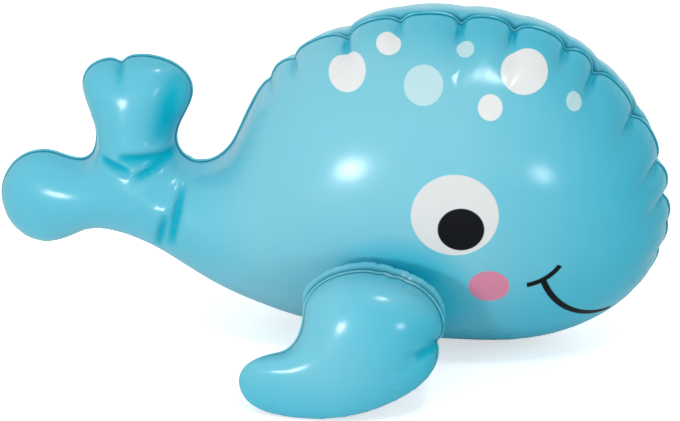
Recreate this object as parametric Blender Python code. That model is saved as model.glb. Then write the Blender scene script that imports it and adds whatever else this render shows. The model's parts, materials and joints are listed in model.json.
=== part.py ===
"""Inflatable baby whale: two welded film panels, two side fins and an air valve.

Metres, +Z up, nose towards +X. The middle plane y = 0 holds the body's seam, and z = 0 is the ground that
the belly and both fins rest on.
"""

import math

import bmesh
import bpy
import numpy as np
from mathutils import Matrix, Vector
from mathutils.geometry import delaunay_2d_cdt

# Film and welds
FILM = 0.0003
CLEARANCE = 0.0003
SEAM_FLANGE = 0.0022
SEAM_SINK = 0.0025
BULGE_RISE = 0.0050

# Head and body outline, x along the length and z above the ground
NOSE_X = 0.1800
NOSE_Z = 0.0740
CROWN_X = 0.0620
BACK_Z = 0.1850
SHOULDER_X = -0.0250
SHOULDER_Z = 0.1545
SHOULDER_HEADING = 226.0
RUMP_X = -0.0490
RUMP_Z = 0.1095
RUMP_HEADING = 246.0
BELLY_FRONT_X = 0.0800
BELLY_REAR_X = 0.0500
BELLY_RISE_X = -0.0550
BELLY_RISE_Z = 0.0215
BELLY_RISE_HEADING = 337.0
BODY_PUFF = 0.84

# Tail stock and its two lobes
STOCK_UNDER_X = -0.1240
STOCK_UNDER_Z = 0.0510
STOCK_DIP_X = -0.0690
STOCK_DIP_Z = 0.0915
UPPER_LOBE_X = -0.1028
UPPER_LOBE_WIDTH = 0.0590
UPPER_LOBE_TOP_Z = 0.1515
UPPER_LOBE_CHEEK_Z = 0.1340
UPPER_LOBE_NECK = 0.0425
UPPER_LOBE_NECK_Z = 0.1060
REAR_LOBE_X = -0.1560
REAR_LOBE_TIP = 0.0240
REAR_LOBE_Z = 0.0680
REAR_LOBE_HEIGHT = 0.0520
REAR_NECK_X = -0.1360
REAR_NECK_Z = 0.0905

# Fins, each outline in its own plane, x along the length and v up the plane from its foot
FIN_TILT = 22.5
FIN_STANCE = 0.1010
FIN_TOP_X = 0.0310
FIN_TOP_V = 0.0780
FIN_FRONT_X = 0.0690
FIN_FRONT_V = 0.0460
FIN_FOOT_X = 0.0030
FIN_TIP_X = -0.0345
FIN_TIP_V = 0.0170
FIN_WAIST_X = -0.0155
FIN_WAIST_V = 0.0315
FIN_WAIST_HEADING = 195.0
FIN_ROOT_X = -0.0030
FIN_ROOT_V = 0.0530
FIN_PUFF = 0.70
FIN_HINGE_RISE = 0.0060

# Air port between body and fin: a flat weld ring that faces out and a little down
PORT_X = 0.0300
PORT_Z = 0.0530
PORT_LEAN = 10.0
PORT_RADIUS = 0.0050
PORT_WELD = 0.0040
PORT_BLEND = 0.0120
PORT_STAND = 0.0015

# Belly, pressed flat where it rests
BELLY_PRESS = 0.0030

# Air valve on the left panel
VALVE_X = 0.0000
VALVE_Z = 0.1050
BASE_RADIUS = 0.0120
BASE_THICKNESS = 0.0009
BASE_BLEND = 0.0120
COLLAR_LENGTH = 0.0056
COLLAR_WALL = 0.0012
STEM_RADIUS = 0.0045
STEM_BORE = 0.0032
STEM_DEPTH = 0.0185
STEM_BEAD = 0.0009
STEM_BEAD_THICKNESS = 0.0012
LIP_RADIUS = 0.0062
LIP_THICKNESS = 0.0010
FLAP_OVERLAP = 0.0009
FLAP_THICKNESS = 0.0006
CAP_RADIUS = 0.0060
CAP_THICKNESS = 0.0011
STOPPER_DEPTH = 0.0038
STOPPER_TAPER = 0.0009
STRAP_REACH = 0.0082
STRAP_WIDTH = 0.0040
STRAP_INSET = 0.0001
TAB_REACH = 0.0095

# Facets
BODY_PITCH = 0.0110
FIN_PITCH = 0.0085
BODY_EDGE_RING = 0.0022
BODY_SECOND_RING = 0.0075
FIN_EDGE_RING = 0.0020
FIN_SECOND_RING = 0.0065
RING_SIDES = 20
TURNED_SIDES = 24
SHARP_ANGLE = 40.0

# Colours (linear) and finishes
FILM_BLUE = (0.122, 0.523, 0.716, 1.0)
VALVE_CLEAR = (0.640, 0.740, 0.780, 1.0)
FILM_ROUGHNESS = 0.22
VALVE_ROUGHNESS = 0.35

RIGHT = -1
LEFT = 1


def clear_scene():
    """Take every object out of the scene."""
    for thing in list(bpy.data.objects):
        bpy.data.objects.remove(thing, do_unlink=True)


def plain_material(name, colour, roughness):
    """One Principled material with a colour, a roughness and no metal."""
    material = bpy.data.materials.new(name)
    material.use_nodes = True
    shader = material.node_tree.nodes["Principled BSDF"]
    shader.inputs["Base Color"].default_value = colour
    shader.inputs["Roughness"].default_value = roughness
    shader.inputs["Metallic"].default_value = 0.0
    return material


def add_object(name, mesh, parent=None, colour=FILM_BLUE, roughness=FILM_ROUGHNESS):
    """Link one named sub-part, with its own material, under its parent."""
    thing = bpy.data.objects.new(name, mesh)
    bpy.context.scene.collection.objects.link(thing)
    mesh.materials.append(plain_material(name + "_finish", colour, roughness))
    mesh.shade_smooth()
    mesh.set_sharp_from_angle(angle=math.radians(SHARP_ANGLE))
    thing.parent = parent
    return thing


def add_empty(name, matrix, parent=None):
    """An empty that carries the pieces of one joint or group."""
    thing = bpy.data.objects.new(name, None)
    bpy.context.scene.collection.objects.link(thing)
    thing.parent = parent
    thing.matrix_local = matrix
    return thing


def arc_outline(nodes, pitch):
    """Points round a closed outline, counter-clockwise, with an even arc between each node and the next.

    A node is (x, z, heading in degrees).
    """
    points = []
    for k, (x0, z0, heading0) in enumerate(nodes):
        x1, z1, heading1 = nodes[(k + 1) % len(nodes)]
        start, end = np.array((x0, z0)), np.array((x1, z1))
        a, b = math.radians(heading0), math.radians(heading1)
        turn = abs((b - a + math.pi) % math.tau - math.pi)
        chord = np.linalg.norm(end - start)
        reach = chord / 3.0
        if turn > 0.01:
            reach = chord * 2.0 / 3.0 * math.tan(turn / 4.0) / math.sin(turn / 2.0)
        leave = start + reach * np.array((math.cos(a), math.sin(a)))
        arrive = end - reach * np.array((math.cos(b), math.sin(b)))
        length = (chord + np.linalg.norm(leave - start) + np.linalg.norm(arrive - leave)
                  + np.linalg.norm(end - arrive)) / 2.0
        steps = max(2, round(length / pitch))
        for t in np.arange(steps) / steps:
            s = 1.0 - t
            points.append(s**3 * start + 3 * s * s * t * leave + 3 * s * t * t * arrive + t**3 * end)
    return np.array(points)


def inward_normals(loop):
    """Unit normals that point into a counter-clockwise loop."""
    along = np.roll(loop, -1, axis=0) - np.roll(loop, 1, axis=0)
    along /= np.linalg.norm(along, axis=1)[:, None]
    return np.stack((-along[:, 1], along[:, 0]), axis=1)


def inside(points, loop):
    """True for each point that lies inside the loop."""
    ends = np.roll(loop, -1, axis=0)
    crossings = np.zeros(len(points), dtype=int)
    for (x0, z0), (x1, z1) in zip(loop, ends):
        if z0 == z1:
            continue
        spans = (points[:, 1] >= min(z0, z1)) & (points[:, 1] < max(z0, z1))
        at = x0 + (points[:, 1] - z0) * (x1 - x0) / (z1 - z0)
        crossings += spans & (at > points[:, 0])
    return crossings % 2 == 1


def circle(centre, radius, sides):
    """Points round a circle, counter-clockwise."""
    turns = np.arange(sides) / sides * math.tau
    return np.array(centre) + radius * np.stack((np.cos(turns), np.sin(turns)), axis=1)


def fill_points(loop, rings, pitch, ports):
    """Points inside an outline: rings that follow its edge, rings round each port, and an even field."""
    normals = inward_normals(loop)
    edge_rings = [loop + inset * normals for inset in rings]
    edge_rings[-1] = edge_rings[-1][::2]
    low, high = loop.min(axis=0), loop.max(axis=0)
    rows = np.arange(low[1], high[1], pitch * math.sqrt(0.75))
    field = [(x + (row % 2) * pitch / 2.0, z) for row, z in enumerate(rows)
             for x in np.arange(low[0], high[0] + pitch, pitch)]
    field = np.array(field)
    field = field[inside(field, loop)]
    edge = np.linalg.norm(field[:, None] - loop[None], axis=2).min(axis=1)
    field = field[edge > rings[-1] + 0.5 * pitch]
    loose = np.concatenate(edge_rings + [field])
    for port in ports:
        away = np.linalg.norm(loose - port["centre"], axis=1)
        loose = loose[away > port["weld"] + 0.45 * pitch]
    port_rings = []
    for port in ports:
        port_rings.append(circle(port["centre"], port["hole"], RING_SIDES))
        port_rings.append(circle(port["centre"], port["weld"], RING_SIDES))
    return np.concatenate([loose] + port_rings)


def triangulate(loop, extra):
    """Triangles between the points of an outline and the points inside it."""
    points = np.concatenate((loop, extra))
    count = len(loop)
    edges = [(k, (k + 1) % count) for k in range(count)]
    found = delaunay_2d_cdt([Vector(p) for p in points], edges, [], 0, 1e-7)
    sources = [origins[0] for origins in found[3]]
    triangles = np.array([[sources[v] for v in face] for face in found[2]])
    middles = points[triangles].mean(axis=1)
    return points, triangles[inside(middles, loop)]


def blown_height(points, triangles, edge_count):
    """Square root of twice the height of a film blown up over the outline: a circle gives a round pillow."""
    corners = points[triangles]
    stiffness = np.zeros((len(points), len(points)))
    load = np.zeros(len(points))
    for k in range(3):
        a, b, c = triangles[:, k], triangles[:, (k + 1) % 3], triangles[:, (k + 2) % 3]
        to_b, to_c = corners[:, (k + 1) % 3] - corners[:, k], corners[:, (k + 2) % 3] - corners[:, k]
        cross = to_b[:, 0] * to_c[:, 1] - to_b[:, 1] * to_c[:, 0]
        weight = 0.5 * (to_b * to_c).sum(axis=1) / cross
        np.add.at(stiffness, (b, c), -weight)
        np.add.at(stiffness, (c, b), -weight)
        np.add.at(stiffness, (b, b), weight)
        np.add.at(stiffness, (c, c), weight)
        np.add.at(load, a, cross / 6.0)
    free = np.arange(edge_count, len(points))
    height = np.zeros(len(points))
    height[free] = np.linalg.solve(stiffness[np.ix_(free, free)], load[free])
    return np.sqrt(np.maximum(2.0 * height, 0.0))


def smooth_step(values):
    """A smooth run from 0 to 1."""
    t = np.clip(values, 0.0, 1.0)
    return t * t * (3.0 - 2.0 * t)


class FilmPanel:
    """One film of a blown-up pair: a bulged dish, the groove down to its seam and the flange outside it.

    The plane is (x, z) and the dish rises along the side, -1 or 1, of the y axis. Each port is a flat ring
    welded to another film, with a hole in it.
    """

    def __init__(self, nodes, pitch, rings, puff, side, ports=()):
        self.side = side
        self.ports = ports
        self.loop = arc_outline(nodes, pitch)
        extra = fill_points(self.loop, rings, pitch, ports)
        self.points, self.triangles = triangulate(self.loop, extra)
        blown = blown_height(self.points, self.triangles, len(self.loop))
        self.rise = np.sqrt(BULGE_RISE**2 + (puff * blown) ** 2)

    def height_at(self, x, z):
        """How far the dish stands off the seam plane at a place, between its points."""
        place = np.array((x, z))
        corners = self.points[self.triangles]
        origin, ab, ac = corners[:, 0], corners[:, 1] - corners[:, 0], corners[:, 2] - corners[:, 0]
        cross = ab[:, 0] * ac[:, 1] - ab[:, 1] * ac[:, 0]
        off = place - origin
        u = (off[:, 0] * ac[:, 1] - off[:, 1] * ac[:, 0]) / cross
        v = (ab[:, 0] * off[:, 1] - ab[:, 1] * off[:, 0]) / cross
        best = np.argmax(np.minimum(np.minimum(u, v), 1.0 - u - v))
        a, b, c = self.rise[self.triangles[best]]
        return float(a + u[best] * (b - a) + v[best] * (c - a))

    def flatten_ports(self):
        """Draw the dish flat onto each port's plane, fading into the bulge around it."""
        for port in self.ports:
            offset = self.points - port["centre"]
            away = np.linalg.norm(offset, axis=1)
            flat = port["rise"] + offset @ port["slope"]
            share = 1.0 - smooth_step((away - port["weld"]) / port["blend"])
            share[: len(self.loop)] = 0.0
            self.rise = self.rise + share * (flat - self.rise)

    def outer_points(self):
        """The dish, seam and flange tip of the film's outer face."""
        inward = inward_normals(self.loop)
        seam = self.loop + SEAM_SINK * inward
        tip = seam - SEAM_FLANGE * inward
        plane = np.concatenate((self.points, seam, tip))
        weld = np.full(2 * len(self.loop), CLEARANCE / 2.0 + FILM)
        rise = np.concatenate((self.rise, weld))
        return np.stack((plane[:, 0], self.side * rise, plane[:, 1]), axis=1)

    def outer_faces(self):
        """Faces of the film's outer face, with the ports' holes left out."""
        middles = self.points[self.triangles].mean(axis=1)
        keep = np.ones(len(middles), dtype=bool)
        for port in self.ports:
            keep &= np.linalg.norm(middles - port["centre"], axis=1) > port["hole"]
        faces = [tuple(face) for face in self.triangles[keep]]
        count, seam = len(self.loop), len(self.points)
        tip = seam + count
        for k in range(count):
            n = (k + 1) % count
            faces.append((n, k, seam + k, seam + n))
            faces.append((seam + n, seam + k, tip + k, tip + n))
        return faces

    def hole_rims(self):
        """Rim vertices round each port's hole, counter-clockwise."""
        start = len(self.points) - 2 * RING_SIDES * len(self.ports)
        return [[start + 2 * RING_SIDES * p + k for k in range(RING_SIDES)] for p in range(len(self.ports))]

    def mesh(self, name, matrix=None, press=0.0):
        """The closed film, its wall inside the outer face. What lies under press is laid on the ground."""
        outer = self.outer_points()
        faces = self.outer_faces()
        if press:
            dish = outer[: len(self.points)]
            dish[dish[:, 2] < press, 2] = 0.0
        normals = np.zeros_like(outer)
        for face in faces:
            a, b, c = outer[face[0]], outer[face[1]], outer[face[2]]
            normals[list(face)] += np.cross(b - a, c - a) * -self.side
        normals /= np.maximum(np.linalg.norm(normals, axis=1), 1e-12)[:, None]
        inner = outer - FILM * normals
        self.seat_weld(outer, inner)
        total, count = len(outer), len(self.loop)
        tip = len(self.points) + count
        closed = faces + [tuple(total + v for v in reversed(face)) for face in faces]
        for k in range(count):
            n = (k + 1) % count
            closed.append((tip + n, tip + k, total + tip + k, total + tip + n))
        for rim in self.hole_rims():
            for k, v in enumerate(rim):
                w = rim[(k + 1) % len(rim)]
                closed.append((v, w, total + w, total + v))
        if self.side > 0:
            closed = [tuple(reversed(face)) for face in closed]
        return make_mesh(name, np.concatenate((outer, inner)), closed, matrix)

    def seat_weld(self, outer, inner):
        """Lay the inner face of the seam and flange flat along the weld."""
        start = len(self.points)
        count = len(self.loop)
        fold = 0.5 * math.atan2(BULGE_RISE, SEAM_SINK)
        inward = inward_normals(self.loop) * FILM / math.tan(fold)
        inner[start:] = outer[start:]
        inner[start:, 1] = self.side * CLEARANCE / 2.0
        inner[start : start + count, 0] += inward[:, 0]
        inner[start : start + count, 2] += inward[:, 1]


def make_mesh(name, points, faces, matrix=None):
    """A mesh of points and faces, with the points no face uses left out."""
    used = sorted({v for face in faces for v in face})
    place = {v: k for k, v in enumerate(used)}
    mesh = bpy.data.meshes.new(name)
    mesh.from_pydata([points[v].tolist() for v in used], [], [[place[v] for v in face] for face in faces])
    if matrix is not None:
        mesh.transform(matrix)
    mesh.update()
    return mesh


def body_nodes():
    """Outline of the body from the nose, over the back, round both tail lobes and along the belly."""
    lobe_half = UPPER_LOBE_WIDTH / 2.0
    neck_half = UPPER_LOBE_NECK / 2.0
    rear_half = REAR_LOBE_HEIGHT / 2.0
    return (
        (NOSE_X, NOSE_Z, 90.0),
        (CROWN_X, BACK_Z, 180.0),
        (SHOULDER_X, SHOULDER_Z, SHOULDER_HEADING),
        (RUMP_X, RUMP_Z, RUMP_HEADING),
        (STOCK_DIP_X, STOCK_DIP_Z, 180.0),
        (UPPER_LOBE_X + neck_half, UPPER_LOBE_NECK_Z, 90.0),
        (UPPER_LOBE_X + lobe_half, UPPER_LOBE_CHEEK_Z, 90.0),
        (UPPER_LOBE_X, UPPER_LOBE_TOP_Z, 180.0),
        (UPPER_LOBE_X - lobe_half, UPPER_LOBE_CHEEK_Z, 270.0),
        (UPPER_LOBE_X - neck_half, UPPER_LOBE_NECK_Z, 270.0),
        (REAR_NECK_X, REAR_NECK_Z, 180.0),
        (REAR_LOBE_X, REAR_LOBE_Z + rear_half, 180.0),
        (REAR_LOBE_X - REAR_LOBE_TIP, REAR_LOBE_Z, 270.0),
        (REAR_LOBE_X, REAR_LOBE_Z - rear_half, 0.0),
        (STOCK_UNDER_X, STOCK_UNDER_Z, 0.0),
        (BELLY_RISE_X, BELLY_RISE_Z, BELLY_RISE_HEADING),
        (BELLY_REAR_X, 0.0, 0.0),
        (BELLY_FRONT_X, 0.0, 0.0),
    )


def fin_nodes():
    """Outline of a fin in its own plane: a broad root that narrows to a tip behind."""
    return (
        (FIN_FRONT_X, FIN_FRONT_V, 90.0),
        (FIN_TOP_X, FIN_TOP_V, 180.0),
        (FIN_ROOT_X, FIN_ROOT_V, 270.0),
        (FIN_WAIST_X, FIN_WAIST_V, FIN_WAIST_HEADING),
        (FIN_TIP_X, FIN_TIP_V, 270.0),
        (FIN_FOOT_X, 0.0, 0.0),
    )


def port_on_body(stand):
    """The body's side of the air port: a ring that leans out and down, a little proud of the bulge."""
    return {
        "centre": np.array((PORT_X, PORT_Z)),
        "hole": PORT_RADIUS,
        "weld": PORT_RADIUS + PORT_WELD,
        "blend": PORT_BLEND,
        "rise": stand,
        "slope": np.array((0.0, math.tan(math.radians(PORT_LEAN)))),
    }


def body_panel(side, ports=()):
    """One of the body's two films."""
    rings = (BODY_EDGE_RING, BODY_SECOND_RING)
    panel = FilmPanel(body_nodes(), BODY_PITCH, rings, BODY_PUFF, side, ports)
    panel.flatten_ports()
    return panel


def port_stand():
    """How far the air port's ring stands off the seam plane."""
    bare = body_panel(LEFT)
    return bare.height_at(PORT_X, PORT_Z) + PORT_STAND


def valve_port():
    """The flat place on the left film that the valve's base is welded behind."""
    bare = body_panel(LEFT)
    step = BASE_RADIUS
    along = bare.height_at(VALVE_X + step, VALVE_Z) - bare.height_at(VALVE_X - step, VALVE_Z)
    up = bare.height_at(VALVE_X, VALVE_Z + step) - bare.height_at(VALVE_X, VALVE_Z - step)
    return {
        "centre": np.array((VALVE_X, VALVE_Z)),
        "hole": STEM_RADIUS + 2.0 * CLEARANCE,
        "weld": BASE_RADIUS + CLEARANCE,
        "blend": BASE_BLEND,
        "rise": bare.height_at(VALVE_X, VALVE_Z),
        "slope": np.array((along, up)) / (2.0 * step),
    }


def hinge_point(side, stand):
    """Where a fin's hinge lies: above the top of its weld ring, in the plane of the weld."""
    reach = PORT_RADIUS + PORT_WELD + FIN_HINGE_RISE
    lean = math.radians(PORT_LEAN)
    out = stand + reach * math.sin(lean) + CLEARANCE / 2.0
    return Vector((PORT_X, side * out, PORT_Z + reach * math.cos(lean)))


def fin_panel(side, ports=()):
    """One of a fin's two films."""
    panel = FilmPanel(fin_nodes(), FIN_PITCH, (FIN_EDGE_RING, FIN_SECOND_RING), FIN_PUFF, side, ports)
    panel.flatten_ports()
    return panel


def add_fin(side, word, stand):
    """One fin: an outer film and an inner film on an empty at the hinge."""
    tilt = math.radians(FIN_TILT)
    turn = Matrix.Rotation(side * tilt, 4, "X")
    hinge = Matrix.Translation(hinge_point(side, stand)) @ turn
    pivot = add_empty("fin_" + word + "_hinge", hinge)
    outer = fin_panel(side)
    lowest = outer.points[:, 1] * math.cos(tilt) - outer.rise * math.sin(tilt)
    lift = -lowest.min() / math.cos(tilt)
    foot = Vector((0.0, side * FIN_STANCE, 0.0))
    fin_to_world = Matrix.Translation(foot) @ turn @ Matrix.Translation((0.0, 0.0, lift))
    place = hinge.inverted() @ fin_to_world
    port = port_on_fin(side, stand, fin_to_world.inverted())
    inner = fin_panel(-side, (port,))
    name = "fin_" + word
    add_object(name + "_outer_panel", outer.mesh(name + "_outer_panel", place), pivot)
    add_object(name + "_inner_panel", inner.mesh(name + "_inner_panel", place), pivot)


def port_on_fin(side, stand, world_to_fin):
    """The fin's side of the air port, carried into the fin's own plane with the weld's gap between them."""
    lean = math.radians(PORT_LEAN)
    out = Vector((0.0, side * math.cos(lean), -math.sin(lean)))
    centre = world_to_fin @ (Vector((PORT_X, side * stand, PORT_Z)) + CLEARANCE * out)
    normal = world_to_fin.to_3x3() @ out
    return {
        "centre": np.array((centre.x, centre.z)),
        "hole": PORT_RADIUS,
        "weld": PORT_RADIUS + PORT_WELD,
        "blend": PORT_BLEND,
        "rise": -side * centre.y,
        "slope": np.array((side * normal.x / normal.y, side * normal.z / normal.y)),
    }


def turned_mesh(name, profile):
    """A solid turned round the local z axis from a closed profile of (radius, height)."""
    shape = bmesh.new()
    ring = [shape.verts.new((radius, 0.0, height)) for radius, height in profile]
    edges = [shape.edges.new((ring[k], ring[(k + 1) % len(ring)])) for k in range(len(ring))]
    bmesh.ops.spin(shape, geom=ring + edges, cent=(0, 0, 0), axis=(0, 0, 1), dvec=(0, 0, 0),
                   angle=math.tau, steps=TURNED_SIDES, use_merge=True, use_duplicate=False)
    bmesh.ops.remove_doubles(shape, verts=shape.verts, dist=1e-6)
    bmesh.ops.dissolve_degenerate(shape, edges=shape.edges, dist=1e-7)
    bmesh.ops.recalc_face_normals(shape, faces=shape.faces)
    mesh = bpy.data.meshes.new(name)
    shape.to_mesh(mesh)
    shape.free()
    return mesh


def bar_mesh(name, low, high):
    """A plain bar between two corners."""
    shape = bmesh.new()
    bmesh.ops.create_cube(shape, size=1.0)
    low, high = Vector(low), Vector(high)
    for v in shape.verts:
        v.co = Vector(low[k] + (v.co[k] + 0.5) * (high[k] - low[k]) for k in range(3))
    mesh = bpy.data.meshes.new(name)
    shape.to_mesh(mesh)
    shape.free()
    return mesh


def unite(thing, name, mesh):
    """Join a second shape into a piece."""
    guide = bpy.data.objects.new(name, mesh)
    bpy.context.scene.collection.objects.link(guide)
    guide.parent = thing.parent
    guide.matrix_local = thing.matrix_local
    guide.hide_render = True
    guide.display_type = "WIRE"
    joined = thing.modifiers.new("join_" + name, "BOOLEAN")
    joined.operation = "UNION"
    joined.object = guide


def add_valve_part(name, mesh, parent):
    """One moulded piece of the valve."""
    return add_object(name, mesh, parent, VALVE_CLEAR, VALVE_ROUGHNESS)


def add_valve_base(axis):
    """The ring behind the film, with the collar that guides the stem."""
    top = -FILM - CLEARANCE
    inner = STEM_RADIUS + CLEARANCE
    outer = inner + COLLAR_WALL
    foot = top - BASE_THICKNESS - COLLAR_LENGTH
    profile = ((inner, top), (BASE_RADIUS, top), (BASE_RADIUS, top - BASE_THICKNESS),
               (outer, top - BASE_THICKNESS), (outer, foot), (inner, foot))
    add_valve_part("valve_base", turned_mesh("valve_base", profile), axis)


def add_valve_stem(axis):
    """The tube that slides in the collar, with a lip outside, a bead inside and a lug for the strap."""
    lip_top = CLEARANCE + LIP_THICKNESS
    bead = STEM_RADIUS + STEM_BEAD
    profile = ((STEM_BORE, lip_top), (LIP_RADIUS, lip_top), (LIP_RADIUS, CLEARANCE), (STEM_RADIUS, CLEARANCE),
               (STEM_RADIUS, STEM_BEAD_THICKNESS - STEM_DEPTH), (bead, STEM_BEAD_THICKNESS - STEM_DEPTH),
               (bead, -STEM_DEPTH), (STEM_BORE, -STEM_DEPTH))
    stem = add_valve_part("valve_stem", turned_mesh("valve_stem", profile), axis)
    low = (STEM_RADIUS, -STRAP_WIDTH / 2.0, CLEARANCE + STRAP_INSET)
    high = (STRAP_REACH, STRAP_WIDTH / 2.0, lip_top - STRAP_INSET)
    unite(stem, "stem_lug", bar_mesh("stem_lug", low, high))


def add_valve_plug(axis):
    """The stopper with its cap, a strap to the stem's lug and a pull tab, on an empty at the strap's root."""
    lip_top = CLEARANCE + LIP_THICKNESS
    root = Vector((STRAP_REACH, 0.0, lip_top + CLEARANCE / 2.0))
    pivot = add_empty("valve_plug_hinge", Matrix.Translation(root), axis)
    under = lip_top + CLEARANCE
    top = under + CAP_THICKNESS
    neck = STEM_BORE - CLEARANCE
    profile = ((0.0, top), (CAP_RADIUS, top), (CAP_RADIUS, under), (neck, under),
               (neck - STOPPER_TAPER, lip_top - STOPPER_DEPTH), (0.0, lip_top - STOPPER_DEPTH))
    mesh = turned_mesh("valve_plug", profile)
    mesh.transform(Matrix.Translation(-root))
    plug = add_valve_part("valve_plug", mesh, pivot)
    low = (-TAB_REACH, -STRAP_WIDTH / 2.0, under + STRAP_INSET)
    high = (STRAP_REACH, STRAP_WIDTH / 2.0, top - STRAP_INSET)
    strap = bar_mesh("plug_strap", low, high)
    strap.transform(Matrix.Translation(-root))
    unite(plug, "plug_strap", strap)


def add_valve_flap(axis):
    """The flap under the stem's inner end, on an empty at its hinged edge."""
    radius = STEM_BORE + FLAP_OVERLAP
    edge = STEM_RADIUS + STEM_BEAD
    root = Vector((edge, 0.0, -STEM_DEPTH - CLEARANCE / 2.0))
    pivot = add_empty("valve_flap_hinge", Matrix.Translation(root), axis)
    top = -STEM_DEPTH - CLEARANCE
    profile = ((0.0, top), (radius, top), (radius, top - FLAP_THICKNESS), (0.0, top - FLAP_THICKNESS))
    mesh = turned_mesh("valve_check_flap", profile)
    mesh.transform(Matrix.Translation(-root))
    flap = add_valve_part("valve_check_flap", mesh, pivot)
    low = (0.0, -STRAP_WIDTH / 2.0, top - FLAP_THICKNESS + STRAP_INSET)
    high = (edge, STRAP_WIDTH / 2.0, top - STRAP_INSET)
    tab = bar_mesh("flap_tab", low, high)
    tab.transform(Matrix.Translation(-root))
    unite(flap, "flap_tab", tab)


def add_valve(port):
    """The valve on its axis, square to the flat place on the left film."""
    out = Vector((-port["slope"][0], 1.0, -port["slope"][1])).normalized()
    tailward = Vector((0.0, 0.0, 1.0)).cross(out).normalized()
    up = out.cross(tailward)
    turn = Matrix((tailward, up, out)).transposed().to_4x4()
    axis = add_empty("valve_axis", Matrix.Translation((VALVE_X, port["rise"], VALVE_Z)) @ turn)
    add_valve_base(axis)
    add_valve_stem(axis)
    add_valve_plug(axis)
    add_valve_flap(axis)


def main():
    clear_scene()
    stand = port_stand()
    fin_port = port_on_body(stand)
    valve = valve_port()
    for side, word, ports in ((RIGHT, "right", (fin_port,)), (LEFT, "left", (fin_port, valve))):
        panel = body_panel(side, ports)
        name = "body_panel_" + word
        add_object(name, panel.mesh(name, press=BELLY_PRESS))
        add_fin(side, word, stand)
    add_valve(valve)


main()
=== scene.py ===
"""Baby whale blown up from welded vinyl film: body skins, fins, air valve, prints and a white studio."""

import json
import math

import bpy
import numpy as np
from bpy.props import FloatProperty, FloatVectorProperty, IntProperty, PointerProperty
from mathutils import Matrix, Vector
from mathutils.geometry import delaunay_2d_cdt


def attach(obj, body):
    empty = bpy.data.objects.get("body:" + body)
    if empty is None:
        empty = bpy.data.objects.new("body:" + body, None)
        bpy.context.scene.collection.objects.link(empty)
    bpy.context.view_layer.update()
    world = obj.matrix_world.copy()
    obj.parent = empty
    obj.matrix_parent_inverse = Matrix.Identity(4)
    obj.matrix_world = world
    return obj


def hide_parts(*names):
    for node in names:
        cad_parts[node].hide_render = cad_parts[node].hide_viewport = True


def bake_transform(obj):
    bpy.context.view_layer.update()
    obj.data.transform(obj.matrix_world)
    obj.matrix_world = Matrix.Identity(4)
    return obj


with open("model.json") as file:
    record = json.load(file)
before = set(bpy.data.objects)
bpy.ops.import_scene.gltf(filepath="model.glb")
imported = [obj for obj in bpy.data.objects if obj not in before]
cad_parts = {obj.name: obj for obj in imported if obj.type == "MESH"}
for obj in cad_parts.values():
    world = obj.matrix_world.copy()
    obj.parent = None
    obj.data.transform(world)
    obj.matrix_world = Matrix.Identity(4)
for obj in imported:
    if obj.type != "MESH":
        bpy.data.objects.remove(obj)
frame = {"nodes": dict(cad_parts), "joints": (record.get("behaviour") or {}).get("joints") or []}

bl_info = {
    "name": "Blown-up baby whale",
    "version": (1, 0, 0),
    "blender": (4, 5, 0),
    "location": "View3D > Sidebar > Whale",
    "description": "Blows up the whale's film pieces and sets them in a white studio",
    "category": "Add Mesh",
}

# Side of the seam's plane along y
RIGHT = -1
LEFT = 1

# Body outline from the nose, over the back, round both tail lobes and along the belly: x, z, heading
BODY_OUTLINE = (
    (0.1800, 0.0770, 90.0),
    (0.1312, 0.1656, 142.0),
    (0.0620, 0.1838, 180.0),
    (0.0162, 0.1762, 203.0),
    (-0.0250, 0.1540, 226.0),
    (-0.0500, 0.1095, 246.0),
    (-0.0706, 0.0930, 180.0),
    (-0.0824, 0.1060, 90.0),
    (-0.0730, 0.1345, 90.0),
    (-0.0995, 0.1528, 180.0),
    (-0.1315, 0.1343, 270.0),
    (-0.1256, 0.1062, 270.0),
    (-0.1356, 0.0906, 180.0),
    (-0.1540, 0.0944, 180.0),
    (-0.1800, 0.0655, 270.0),
    (-0.1562, 0.0402, 0.0),
    (-0.1240, 0.0512, 0.0),
    (-0.0550, 0.0204, 337.0),
    (0.0500, 0.0000, 0.0),
    (0.0870, 0.0000, 0.0),
)

# Tucks where the body's seam puckers: x, z, how deep the seam dips, how far the fold runs into the film
BODY_TUCKS = (
    (-0.111, 0.152, 0.0044, 0.011),
    (-0.032, 0.143, 0.0022, 0.004),
    (-0.019, 0.157, 0.0042, 0.0035),
    (0.008, 0.172, 0.0066, 0.0036),
    (0.036, 0.182, 0.0045, 0.0025),
    (0.0675, 0.184, 0.0066, 0.0032),
    (0.0955, 0.180, 0.0066, 0.0028),
    (0.124, 0.171, 0.0056, 0.0030),
    (0.141, 0.159, 0.0066, 0.0055),
    (0.161, 0.136, 0.0062, 0.0045),
    (0.174, 0.108, 0.0046, 0.009),
    (0.179, 0.089, 0.0046, 0.006),
    (0.180, 0.073, 0.0014, 0.004),
    (0.178, 0.058, 0.0022, 0.005),
)

# Creases at the root of the tail, deep or, below 0, raised: x and z of both ends, depth, half width
BODY_CREASES = (
    (-0.110, 0.1015, -0.080, 0.1015, 0.0042, 0.0026),
    (-0.1205, 0.0992, -0.1030, 0.0945, 0.0040, 0.0020),
    (-0.1010, 0.0913, -0.0830, 0.1005, 0.0040, 0.0020),
    (-0.0750, 0.0902, -0.0815, 0.0550, 0.0038, 0.0020),
    (-0.0835, 0.0740, -0.0898, 0.0520, 0.0034, 0.0020),
    (-0.072, 0.0950, -0.090, 0.0680, -0.0008, 0.0034),
    # The last, wide and shallow crease mostly lays painted shade on the right of the upper lobe
    (-0.079, 0.1460, -0.089, 0.1080, 0.0028, 0.0072),
)

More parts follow.
